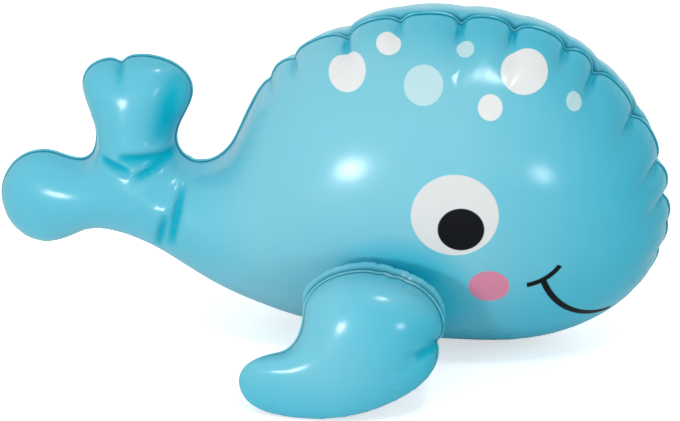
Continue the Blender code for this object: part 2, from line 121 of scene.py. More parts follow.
# Spots on the flat film: x, z, long and short width, turn of the long way in degrees
WHITE_SPOTS = (
    (0.0055, 0.1760, 0.0304, 0.0236, 122.0),
    (0.0285, 0.1950, 0.0184, 0.0149, 114.0),
    (0.1122, 0.1775, 0.0320, 0.0284, 53.0),
    (0.0901, 0.1559, 0.0149, 0.0136, 84.0),
)
PALE_SPOTS = (
    (0.0529, 0.1685, 0.0241, 0.0220, 100.0),
    (0.0764, 0.1934, 0.0134, 0.0112, 100.0),
    (0.1409, 0.1561, 0.0132, 0.0108, 60.0),
)

# The face on the flat film, in the same way as the spots
EYE = (0.0708, 0.0992, 0.0434, 0.0430, 0.0)
CHEEK = (0.0876, 0.0588, 0.0199, 0.0187, 150.0)
PUPIL = (0.0739, 0.0918, 0.0229, 0.0226, 0.0)

# The mouth's corner and smile, arcs on the flat film: x, z, radius, both angles in degrees, both widths
MOUTH = (
    (0.1031, 0.0815, 0.0233, -84.0, -37.0, 0.0029, 0.0027),
    (0.1647, 0.0744, 0.0532, -164.0, -106.0, 0.0031, 0.0034),
)

# Width over which an ink fades at its edge
INK_EDGE = 0.0005

# Fin outline in its own plane from the front, over the top and round the tip: x, height, heading
FIN_OUTLINE = (
    (0.0690, 0.0460, 90.0),
    (0.0310, 0.0765, 180.0),
    (-0.0030, 0.0530, 270.0),
    (-0.0155, 0.0315, 195.0),
    (-0.0338, 0.0170, 270.0),
    (0.0010, 0.0000, 0.0),
    (0.0460, 0.0123, 31.0),
    (0.0664, 0.0355, 78.0),
)

# Tucks in a fin's seam, in the same way
FIN_TUCKS = (
    (0.0684, 0.0420, 0.0040, 0.005),
    (0.049, 0.072, 0.0009, 0.0014),
    (0.042, 0.075, 0.0012, 0.0016),
    (0.034, 0.076, 0.0009, 0.0014),
)

# The crease that runs in from the fin's deepest tuck
FIN_CREASES = (
    (0.0680, 0.0425, 0.0560, 0.0345, 0.0036, 0.0020),
)

# Where a fin's outer film turns fuller: height of its middle, start and length of the toe's run along x,
# height of the toe's middle and the toe's share
FIN_MIDDLE = 0.039
TOE_RUN = (-0.022, 0.026)
TOE_MIDDLE = 0.015
TOE_SHARE = 0.75

# Folds: share of the tuck's depth, start before the crest, rise for full depth, depth for full painted shade
FOLD_SHARE = 0.55
FOLD_LEAD = 0.001
FULL_RISE = 0.004
FULL_DEPTH = 0.0026

# Flat lands: how far one fades into the bulge round it, its rings and least sides, the gap of a fin's port
LAND_BLEND = 0.012
LAND_RINGS = 3
LEAST_SIDES = 16
PORT_GAP = 0.0003

# Outline: steps of each arc, and the turn below which it is straight
ARC_STEPS = 64
STRAIGHT = 0.01

# Mesh of a film: clear space along the seam and round a land, in steps of the mesh
SEAM_SPACE = 0.62
LAND_SPACE = 0.5

# Blowing up: close fit of the start shape, size of the film while it fills, least slack along the seam,
# rise above which the film counts as the top of the bulge, softness of the film on the ground
CLOSE_FIT = 1e-14
CLOTH_SCALE = 10.0
LEAST_SLACK = 0.35
BULGE_TOP = 0.80
GROUND_SOFT = 0.0012

# Painted sheen and shade on the film: how much nearer the seam the rear takes the sheen, slope of the belly's
# edge, and shares of each tone
REAR_REACH = 0.030
BELLY_SLOPE = 0.4
TAIL_SHARE = 0.5
RIM_SHEEN_SHARE = 0.7
FIN_TOP_SHARE = 0.6
FIN_SHADE_SHARE = 0.85
LINE_SHARE = 0.95
GLINT_SHARE = 0.9
GLOSS = 0.7

# Painted shade on the body round a fin's root, where the fin shades it: middle and half widths along x and z
FIN_SHADE_MIDDLE = (0.045, 0.045)
FIN_SHADE_REACH = (0.045, 0.040)

# Mouldings: distance of points that are one, angles of a flat face and a sharp edge, steps of a rounded edge
ONE_POINT = 0.00001
FLAT_ANGLE = math.radians(4.0)
SHARP_ANGLE = math.radians(40.0)
ROUND_STEPS = 3

# Lamps: name, place, width, power, whether the gloss shows it
LAMPS = (
    ("lamp_left", (-0.66, -1.27, 0.22), 0.22, 5.4, True),
    ("lamp_right", (0.86, -1.25, 0.23), 0.145, 1.9, True),
    ("lamp_top", (0.36, -0.57, 1.46), 0.25, 4.7, True),
    ("lamp_back", (0.15, 1.25, 0.62), 1.20, 8.0, False),
)
LAMP_AIM = (0.0, 0.0, 0.08)

# Light from all round: how much more comes from ahead, from the left and from above
LIGHT_LEAN = (-0.38, -0.10, 0.45)

# Floor: its white, and its glow to the camera
FLOOR_WHITE = 0.85
FLOOR_GLOW = 0.57


class WhaleFilm(bpy.types.PropertyGroup):
    """Sizes and colour of the vinyl film."""

    wall: FloatProperty(name="Wall", description="Thickness of the film", default=0.0003, unit="LENGTH")
    body_flange: FloatProperty(
        name="Body flange", description="Width of the body's welded edge", default=0.0013, unit="LENGTH")
    fin_flange: FloatProperty(
        name="Fin flange", description="Width of a fin's welded edge", default=0.0016, unit="LENGTH")
    reach: FloatProperty(
        name="Flange reach", description="How far the flange stands outside the outline", default=0.0005,
        unit="LENGTH")
    lip: FloatProperty(
        name="Lip", description="How far the bulge reaches out over its seam", default=0.0006, unit="LENGTH")
    swell: FloatProperty(
        name="Left swell", description="How far the left film stands out over the seam of the back",
        default=0.0017, unit="LENGTH")
    draw: FloatProperty(
        name="Left draw", description="How far the left film keeps inside the seam of the tail",
        default=0.0026, unit="LENGTH")
    calm: FloatProperty(
        name="Left calm", description="Share of the tucks that the left film lies smoothly over",
        default=0.80, subtype="FACTOR")
    foot_swell: FloatProperty(
        name="Foot swell", description="How far a fin's outer film covers its flange below", default=0.0022,
        unit="LENGTH")
    top_swell: FloatProperty(
        name="Top swell", description="How far a fin's inner film stands out at the top", default=0.0050,
        unit="LENGTH")
    top_heavy: FloatProperty(
        name="Top heavy", description="How much fuller a fin's outer film is at the top", default=0.60,
        subtype="FACTOR")
    roll: FloatProperty(
        name="Edge roll", description="Rise of the bulge at its edge", default=0.0024, unit="LENGTH")
    weld: FloatProperty(
        name="Weld", description="Height of the outer face of the weld above the seam plane",
        default=0.00045, unit="LENGTH")
    tuck_width: FloatProperty(
        name="Tuck width", description="How far a dip in the seam reaches to each side", default=0.0036,
        unit="LENGTH")
    fold_width: FloatProperty(
        name="Fold width", description="Half width of the fold behind a tuck", default=0.0021, unit="LENGTH")
    body_pitch: FloatProperty(
        name="Body mesh", description="Spacing of the body film's mesh", default=0.0020, unit="LENGTH")
    fin_pitch: FloatProperty(
        name="Fin mesh", description="Spacing of the fin film's mesh", default=0.0019, unit="LENGTH")
    body_puff: FloatProperty(
        name="Body puff", description="How round the body is before it is blown up", default=0.84)
    fin_puff: FloatProperty(
        name="Fin puff", description="How round a fin is before it is blown up", default=0.71)
    body_slack: FloatProperty(
        name="Body slack", description="Spare film gathered along the body's seam", default=0.008,
        subtype="FACTOR")
    fin_slack: FloatProperty(
        name="Fin slack", description="Spare film gathered along a fin's seam", default=0.006,
        subtype="FACTOR")
    body_band: FloatProperty(
        name="Body band", description="How far from the body's seam the film is gathered", default=0.020,
        unit="LENGTH")
    fin_band: FloatProperty(
        name="Fin band", description="How far from a fin's seam the film is gathered", default=0.012,
        unit="LENGTH")
    air: FloatProperty(name="Air", description="Pressure of the air inside", default=5.0)
    frames: IntProperty(name="Frames", description="Frames that the film takes to settle", default=14)
    blue: FloatVectorProperty(
        name="Blue", description="Colour of the film", subtype="COLOR", default=(0.026, 0.460, 0.625))
    # Painted sheen: a paler blue laid where the light and the lamps' broad reflection fall, not a colour of
    # the film itself
    pale: FloatVectorProperty(
        name="Pale", description="Colour where the film is stretched most", subtype="COLOR",
        default=(0.192, 0.585, 0.715))
    weld_line: FloatVectorProperty(
        name="Weld line", description="Colour of the film in the seam", subtype="COLOR",
        default=(0.002, 0.19, 0.28))
    # Painted glints: bright bits along the flange's cut edge stand in for the lamps' sparkle on it
    flange_glint: FloatVectorProperty(
        name="Weld edge", description="Colour of the cut edge of the flange", subtype="COLOR",
        default=(0.24, 0.74, 0.85))
    # Painted shade: a deeper, saturated blue on the body round a fin's root, where the fin shades it
    fin_shade: FloatVectorProperty(
        name="Fresh", description="Colour where a fin's weld keeps the film from stretching",
        subtype="COLOR", default=(0.004, 0.55, 0.73))
    # Painted shade: the darker blue laid in creases and folds
    deep: FloatVectorProperty(
        name="Deep", description="Colour of the film in a crease", subtype="COLOR",
        default=(0.001, 0.43, 0.585))


class WhalePrints(bpy.types.PropertyGroup):
    """Colours of the inks on the body film."""

    eye: FloatVectorProperty(
        name="Eye", description="White of the eye", subtype="COLOR", default=(0.74, 0.77, 0.77))
    pupil: FloatVectorProperty(
        name="Pupil", description="Black of the pupil and mouth", subtype="COLOR",
        default=(0.004, 0.005, 0.007))
    cheek: FloatVectorProperty(
        name="Cheek", description="Pink of the cheek", subtype="COLOR", default=(0.70, 0.235, 0.37))
    spot: FloatVectorProperty(
        name="Spot", description="White of the bright spots", subtype="COLOR", default=(0.80, 0.83, 0.83))
    pale_spot: FloatVectorProperty(
        name="Pale spot", description="Colour of the pale spots", subtype="COLOR",
        default=(0.50, 0.75, 0.80))


class WhaleFins(bpy.types.PropertyGroup):
    """Where the fins stand."""

    tilt: FloatProperty(
        name="Tilt", description="Lean of a fin towards the body", default=math.radians(19.5),
        subtype="ANGLE")
    stance: FloatProperty(
        name="Stance", description="Distance of a fin's foot from the middle", default=0.101, unit="LENGTH")
    lift: FloatProperty(
        name="Lift", description="Height of a fin's seam above the ground", default=0.0004, unit="LENGTH")
    port_lean: FloatProperty(
        name="Port lean", description="Downward lean of the air port", default=math.radians(10.0),
        subtype="ANGLE")
    port_x: FloatProperty(
        name="Port place", description="Place of the air port along the body", default=0.030, unit="LENGTH")
    port_z: FloatProperty(
        name="Port height", description="Height of the air port", default=0.053, unit="LENGTH")
    port_stand: FloatProperty(
        name="Port stand", description="Distance of the air port from the middle", default=0.05813,
        unit="LENGTH")
    port_hole: FloatProperty(
        name="Port hole", description="Radius of the air port", default=0.005, unit="LENGTH")
    port_weld: FloatProperty(
        name="Port weld", description="Radius of the weld round the port", default=0.009, unit="LENGTH")


class WhaleValve(bpy.types.PropertyGroup):
    """Sizes and colour of the air valve."""

    x: FloatProperty(
        name="Place", description="Place of the valve along the body", default=0.0, unit="LENGTH")
    z: FloatProperty(name="Height", description="Height of the valve", default=0.105, unit="LENGTH")
    stand: FloatProperty(
        name="Stand", description="Distance of the valve from the middle", default=0.053987, unit="LENGTH")
    weld: FloatProperty(
        name="Weld", description="Radius of the flat place round the valve", default=0.0123, unit="LENGTH")
    hole: FloatProperty(
        name="Hole", description="Radius of the hole in the film", default=0.0051, unit="LENGTH")
    edge: FloatProperty(
        name="Edge", description="Rounding of the moulded edges", default=0.00025, unit="LENGTH")
    milky: FloatVectorProperty(
        name="Milky", description="Colour of the moulded valve", subtype="COLOR", default=(0.64, 0.74, 0.78))


class WhaleStage(bpy.types.PropertyGroup):
    """Camera and light."""

    distance: FloatProperty(
        name="Distance", description="Distance of the camera", default=1.2, unit="LENGTH")
    azimuth: FloatProperty(
        name="Azimuth", description="Turn of the camera towards the nose", default=math.radians(7.0),
        subtype="ANGLE")
    elevation: FloatProperty(
        name="Elevation", description="Height of the camera", default=math.radians(26.5), subtype="ANGLE")
    lens: FloatProperty(name="Lens", description="Focal length in millimetres", default=118.6)
    aim: FloatVectorProperty(
        name="Aim", description="Point that the camera looks at", unit="LENGTH",
        default=(0.0053, 0.0, 0.0677))
    floor: FloatProperty(name="Floor", description="Width of the floor", default=6.0, unit="LENGTH")
    ambient: FloatProperty(name="Ambient", description="Light from all round", default=0.435)


class Value:
    """A socket that plain arithmetic can be written with."""

    def __init__(self, finish, socket):
        self.finish = finish
        self.socket = socket

    def math(self, operation, *others):
        """One Math node on this value and others."""
        sockets = dict(enumerate((self,) + others))
        return self.finish.node("ShaderNodeMath", {"operation": operation}, sockets)

    def __add__(self, other):
        return self.math("ADD", other)

    __radd__ = __add__

    def __mul__(self, other):
        return self.math("MULTIPLY", other)

    __rmul__ = __mul__

    def __sub__(self, other):
        return self.math("SUBTRACT", other)

    def __rsub__(self, other):
        return self.math("MULTIPLY", -1.0).math("ADD", other)

    def __pow__(self, other):
        return self.math("POWER", other)

    def __abs__(self):
        return self.math("ABSOLUTE")

    def held(self):
        """The value kept between 0 and 1."""
        return self.math("MAXIMUM", 0.0).math("MINIMUM", 1.0)

    def ramp(self, none, full):
        """An even run from 0 at one value to 1 at another."""
        return ((self - none) * (1.0 / (full - none))).held()


class Finish:
    """A material, or a world, built node by node."""

    def __init__(self, owner):
        self.owner = owner
        owner.use_nodes = True
        self.tree = owner.node_tree
        self.shader = self.tree.nodes.get("Principled BSDF")

    def node(self, kind, settings=None, sockets=None, output=0):
        """Add a node, set it up, fill its sockets and give back one of its outputs."""
        made = self.tree.nodes.new(kind)
        for key, setting in (settings or {}).items():
            setattr(made, key, setting)
        for key, value in (sockets or {}).items():
            self.fill(made.inputs[key], value)
        return Value(self, made.outputs[output])

    def fill(self, socket, value):
        """Link a value to a socket, or set the socket to a number or colour."""
        if isinstance(value, Value):
            self.tree.links.new(value.socket, socket)
        else:
            socket.default_value = value

    def mix(self, share, first, second):
        """One colour laid over another."""
        return self.node("ShaderNodeMix", {"data_type": "RGBA"}, {0: share, 6: first, 7: second}, 2)

    def parts(self, vector):
        """The x, y and z of a vector."""
        split = self.node("ShaderNodeSeparateXYZ", {}, {0: vector}).socket.node
        return [Value(self, socket) for socket in split.outputs]

    def set(self, **values):
        """Set the Principled shader's sockets, with underscores for spaces."""
        for key, value in values.items():
            self.fill(self.shader.inputs[key.replace("_", " ").title().replace("Ior", "IOR")], value)


def opaque(colour):
    """A colour with full alpha."""
    return (*colour, 1.0)


def grey(level):
    """An even grey with full alpha."""
    return opaque((level, level, level))


def ellipse(u, v, x, z, long, short, turn):
    """Ink in an ellipse, turned counter-clockwise in degrees."""
    c, s = math.cos(math.radians(turn)), math.sin(math.radians(turn))
    du, dv = u - x, v - z
    across = (du * c + dv * s) * (2.0 / long)
    up = (dv * c - du * s) * (2.0 / short)
    reach = (across * across + up * up) ** 0.5
    return ((1.0 - reach) * (min(long, short) / 2.0 / INK_EDGE) + 0.5).held()


def stroke(u, v, x, z, radius, start, end, first, last):
    """Ink along an arc of a circle from one angle in degrees up to another, with its first and last width."""
    du, dv = u - x, v - z
    middle = math.radians((start + end) / 2.0)
    half = math.radians((end - start) / 2.0)
    c, s = math.cos(middle), math.sin(middle)
    angle = (dv * c - du * s).math("ARCTAN2", du * c + dv * s)
    along = (angle * (0.5 / half) + 0.5).held()
    width = along * ((last - first) / 2.0) + first / 2.0
    reach = (du * du + dv * dv) ** 0.5
    sides = ((width - abs(reach - radius)) * (1.0 / INK_EDGE) + 0.5).held()
    ends = ((half - abs(angle)) * (radius / INK_EDGE) + 0.5).held()
    return sides * ends


def clear_of_fin_shade(x, z):
    """How far the body film is clear of the painted shade round a fin's root, which also keeps the painted
    sheen off it.
    """
    across = (x - FIN_SHADE_MIDDLE[0]) * (1.0 / FIN_SHADE_REACH[0])
    up = (z - FIN_SHADE_MIDDLE[1]) * (1.0 / FIN_SHADE_REACH[1])
    return ((across * across + up * up) ** 0.5).ramp(none=0.55, full=1.05)


def body_sheen(x, y, z, cloud):
    """Share of painted sheen on the body film: most on the lit flank, least by the seam, belly, nose and
    tail.
    """
    rear = x.ramp(none=0.060, full=-0.020)
    flank = (abs(y) + rear * REAR_REACH).ramp(none=0.004, full=0.040)
    above = (z - x * BELLY_SLOPE).ramp(none=-0.028, full=0.022)
    behind = x.ramp(none=0.165, full=0.070)
    tail = x.ramp(none=-0.030, full=-0.080)
    return flank * above * behind * (cloud * 0.4 + 0.8) * (1.0 - tail * TAIL_SHARE)


def fin_sheen(x, z, cloud):
    """Share of painted sheen on a fin's film: most behind and along the lit top."""
    behind = x.ramp(none=0.064, full=0.014) * z.ramp(none=-0.012, full=0.028)
    top = z.ramp(none=0.052, full=0.068) * FIN_TOP_SHARE
    return (behind * (cloud * 0.3 + 0.6)).math("MAXIMUM", top)


def film_finish(name, film, prints=None):
    """Glossy vinyl with a fine grain, painted sheen, painted shade in creases and round the fins, painted
    glints on the flange, and the body's prints where asked for.
    """
    finish = Finish(bpy.data.materials.new(name))
    place = finish.node("ShaderNodeTexCoord", output="Object")
    cloud = finish.node("ShaderNodeTexNoise", {}, {"Vector": place, "Scale": 22.0, "Detail": 3.0})
    grain = finish.node("ShaderNodeTexNoise", {}, {"Vector": place, "Scale": 1400.0, "Detail": 2.0})
    bits = finish.node("ShaderNodeTexNoise", {}, {"Vector": place, "Scale": 75.0})
    crease_shade = finish.node("ShaderNodeAttribute", {"attribute_name": "crease_shade"}, output="Fac")
    edge = finish.node("ShaderNodeAttribute", {"attribute_name": "edge"}, output="Fac")
    colour = finish.mix(cloud, opaque(film.blue), opaque(np.array(film.blue) * 1.06))
    x, y, z = finish.parts(place)
    if prints:
        free = clear_of_fin_shade(x, z)
        # Painted shade round a fin's root, with the painted sheen held back there
        colour = finish.mix((1.0 - free) * FIN_SHADE_SHARE, colour, opaque(film.fin_shade))
        # Painted light: the left film is paler along the top of the back, standing in for the light it
        # catches there
        rim_sheen = y.ramp(none=0.0, full=0.005) * z.ramp(none=0.110, full=0.140) * RIM_SHEEN_SHARE
        sheened = (body_sheen(x, y, z, cloud) * free).math("MAXIMUM", rim_sheen)
    else:
        sheened = fin_sheen(x, z, cloud)
    # Painted sheen: the film turns paler where the light and the lamps' broad reflection fall
    colour = finish.mix(sheened.held(), colour, opaque(film.pale))
    # Painted shade in creases and folds
    colour = finish.mix(crease_shade, colour, opaque(film.deep))
    line = abs(edge - 1.0).ramp(none=0.75, full=0.125)
    gloss = (1.0 - crease_shade) * (1.0 - line) * GLOSS
    if prints:
        colour, black = printed(finish, colour, prints)
        gloss = gloss * (1.0 - black)
    colour = finish.mix(line * LINE_SHARE, colour, opaque(film.weld_line))
    # Painted glints along the flange's edge, broken up by noise
    bright = edge.ramp(none=1.5, full=2.0) * bits.ramp(none=0.44, full=0.565)
    colour = finish.mix(bright * GLINT_SHARE, colour, opaque(film.flange_glint))
    bump = finish.node("ShaderNodeBump", {}, {"Strength": 0.10, "Distance": 0.0002, "Height": grain})
    finish.set(base_color=colour, roughness=cloud * 0.06 + 0.40, normal=bump, coat_weight=gloss)
    finish.set(specular_ior_level=0.1, coat_roughness=0.20)
    return finish.owner


def printed(finish, colour, prints):
    """The film's colour under the face and the spots, and the share that is black ink."""
    u, v, _ = finish.parts(finish.node("ShaderNodeUVMap", {"uv_map": "flat"}))
    inks = [(mark, prints.spot) for mark in WHITE_SPOTS] + [(mark, prints.pale_spot) for mark in PALE_SPOTS]
    for mark, tone in inks + [(EYE, prints.eye), (CHEEK, prints.cheek)]:
        colour = finish.mix(ellipse(u, v, *mark), colour, opaque(tone))
    black = ellipse(u, v, *PUPIL)
    for arc in MOUTH:
        black = black.math("MAXIMUM", stroke(u, v, *arc))
    return finish.mix(black, colour, opaque(prints.pupil)), black


def valve_finish(name, valve):
    """Milky moulded vinyl."""
    finish = Finish(bpy.data.materials.new(name))
    place = finish.node("ShaderNodeTexCoord", output="Object")
    cloud = finish.node("ShaderNodeTexNoise", {}, {"Vector": place, "Scale": 260.0, "Detail": 3.0})
    grain = finish.node("ShaderNodeTexNoise", {}, {"Vector": place, "Scale": 3000.0, "Detail": 2.0})
    milky = np.array(valve.milky)
    colour = finish.mix(cloud, opaque(milky * 0.90), opaque(np.minimum(milky * 1.05, 1.0)))
    bump = finish.node("ShaderNodeBump", {}, {"Strength": 0.12, "Distance": 0.0001, "Height": grain})
    finish.set(base_color=colour, roughness=cloud * 0.15 + 0.30, normal=bump)
    return finish.owner


def outline(nodes, pitch):
    """Evenly spaced points round a closed outline, with an even arc between each node and the next."""
    runs = []
    t = np.linspace(0.0, 1.0, ARC_STEPS, endpoint=False)[:, None]
    s = 1.0 - t
    for k, (x0, z0, heading0) in enumerate(nodes):
        x1, z1, heading1 = nodes[(k + 1) % len(nodes)]
        start, end = np.array((x0, z0)), np.array((x1, z1))
        a, b = math.radians(heading0), math.radians(heading1)
        turn = abs((b - a + math.pi) % math.tau - math.pi)
        reach = np.linalg.norm(end - start) / 3.0
        if turn > STRAIGHT:
            reach *= 2.0 * math.tan(turn / 4.0) / math.sin(turn / 2.0)
        leave = start + reach * np.array((math.cos(a), math.sin(a)))
        arrive = end - reach * np.array((math.cos(b), math.sin(b)))
        runs.append(s**3 * start + 3 * s * s * t * leave + 3 * s * t * t * arrive + t**3 * end)
    dense = np.concatenate(runs)
    step = np.linalg.norm(np.roll(dense, -1, axis=0) - dense, axis=1)
    along = np.concatenate(([0.0], np.cumsum(step)))
    count = round(along[-1] / pitch)
    wanted = np.arange(count) / count * along[-1]
    closed = np.concatenate((dense, dense[:1]))
    return np.stack([np.interp(wanted, along, closed[:, k]) for k in range(2)], axis=1)


def inward_normals(loop):
    """Unit normals that point into a counter-clockwise loop."""
    along = np.roll(loop, -1, axis=0) - np.roll(loop, 1, axis=0)
    along /= np.linalg.norm(along, axis=1)[:, None]
    return np.stack((-along[:, 1], along[:, 0]), axis=1)


def inside(points, loop):
    """True for each point that lies inside the loop."""
    crossings = np.zeros(len(points), dtype=int)
    for (x0, z0), (x1, z1) in zip(loop, np.roll(loop, -1, axis=0)):
        if z0 == z1:
            continue
        spans = (points[:, 1] >= min(z0, z1)) & (points[:, 1] < max(z0, z1))
        crossings += spans & (x0 + (points[:, 1] - z0) * (x1 - x0) / (z1 - z0) > points[:, 0])
    return crossings % 2 == 1


def distance_to(points, targets):
    """Distance from each point to the nearest target."""
    nearest = np.full(len(points), np.inf)
    for target in targets:
        nearest = np.minimum(nearest, np.linalg.norm(points - target, axis=1))
    return nearest


def circle(centre, radius, sides):
    """Points round a circle."""
    turns = np.arange(sides) / sides * math.tau
    return np.array(centre) + radius * np.stack((np.cos(turns), np.sin(turns)), axis=1)


def cut_film(loop, pitch, lands):
    """Points and triangles that fill an outline evenly, with rings round each land."""
    low, high = loop.min(axis=0), loop.max(axis=0)
    rows = np.arange(low[1], high[1], pitch * math.sqrt(0.75))
    field = np.array([(x + (row % 2) * pitch / 2.0, z) for row, z in enumerate(rows)
                      for x in np.arange(low[0], high[0] + pitch, pitch)])
    field = field[inside(field, loop)]
    field = field[distance_to(field, loop) > SEAM_SPACE * pitch]
    rings = []
    for land in lands:
        field = field[np.linalg.norm(field - land["centre"], axis=1) > land["weld"] + LAND_SPACE * pitch]
        for radius in np.linspace(land["hole"], land["weld"], LAND_RINGS):
            rings.append(circle(land["centre"], radius, max(LEAST_SIDES, round(radius * math.tau / pitch))))
    points = np.concatenate([loop, field] + rings)
    count = len(loop)
    edges = [(k, (k + 1) % count) for k in range(count)]
    found = delaunay_2d_cdt([Vector(p) for p in points], edges, [], 0, 1e-7)
    sources = [origins[0] for origins in found[3]]
    triangles = np.array([[sources[v] for v in face] for face in found[2]])
    middles = points[triangles].mean(axis=1)
    keep = inside(middles, loop)
    for land in lands:
        keep &= np.linalg.norm(middles - land["centre"], axis=1) > land["hole"]
    return points, triangles[keep]


def bulge(points, triangles, edge_count):
    """Square root of twice the height of a taut film blown up over the outline."""
    corners = points[triangles]
    total = len(points)
    rows, columns, weights = [], [], []
    load = np.zeros(total)
    for k in range(3):
        a, b, c = (triangles[:, (k + n) % 3] for n in range(3))
        to_b, to_c = corners[:, (k + 1) % 3] - corners[:, k], corners[:, (k + 2) % 3] - corners[:, k]
        cross = to_b[:, 0] * to_c[:, 1] - to_b[:, 1] * to_c[:, 0]
        weight = 0.5 * (to_b * to_c).sum(axis=1) / cross
        rows += [b, c]
        columns += [c, b]
        weights += [weight, weight]
        load += np.bincount(a, cross / 6.0, total)
    rows, columns, weights = np.concatenate(rows), np.concatenate(columns), np.concatenate(weights)
    diagonal = np.bincount(rows, weights, total)
    free = (np.arange(total) >= edge_count) & (diagonal > 0.0)
    height = np.zeros(total)
    rest = np.where(free, load, 0.0)
    search, size = rest.copy(), rest @ rest
    goal = size * CLOSE_FIT
    while size > goal:
        pull = np.where(free, diagonal * search - np.bincount(rows, weights * search[columns], total), 0.0)
        step = size / (search @ pull)
        height += step * search
        rest -= step * pull
        search = rest + (rest @ rest) / size * search
        size = rest @ rest
    return np.sqrt(np.maximum(2.0 * height, 0.0))


def smooth_run(values, start, length):
    """A smooth run from 0 at its start to 1 at its end."""
    t = np.clip((values - start) / length, 0.0, 1.0)
    return t * t * (3.0 - 2.0 * t)


def slack_all_round(points):
    """Spare film all along a seam."""
    return np.ones(len(points))


def slack_of_body(points):
    """Spare film along the body's seam: most over the back and nose, little along the tail and belly."""
    more = 1.0 - LEAST_SLACK
    fore = LEAST_SLACK + more * smooth_run(points[:, 0], start=-0.045, length=0.030)
    high = LEAST_SLACK + more * smooth_run(points[:, 1], start=0.030, length=0.050)
    return fore * high


def no_overhang(film, loop, dip):
    """A film that keeps to its seam."""
    return np.zeros(len(loop))


def over_back(film, loop, dip):
    """The left film stands out over the seam of the back and the brow, and stays inside it along the tail."""
    x, z = loop[:, 0], loop[:, 1]
    back = smooth_run(x, start=-0.018, length=0.045) * smooth_run(z, start=0.110, length=0.030)
    tail = smooth_run(-x, start=0.040, length=0.020) * smooth_run(z, start=0.075, length=0.012)
    return back * (film.swell + film.calm * dip) - tail * film.draw


def over_foot(film, loop, dip):
    """A fin's outer film covers the flange along its foot."""
    return film.foot_swell * (1.0 - smooth_run(loop[:, 1], start=0.022, length=0.020))


def over_top(film, loop, dip):
    """A fin's inner film stands out behind the flange along its top."""
    return film.top_swell * smooth_run(loop[:, 1], start=0.045, length=0.020)


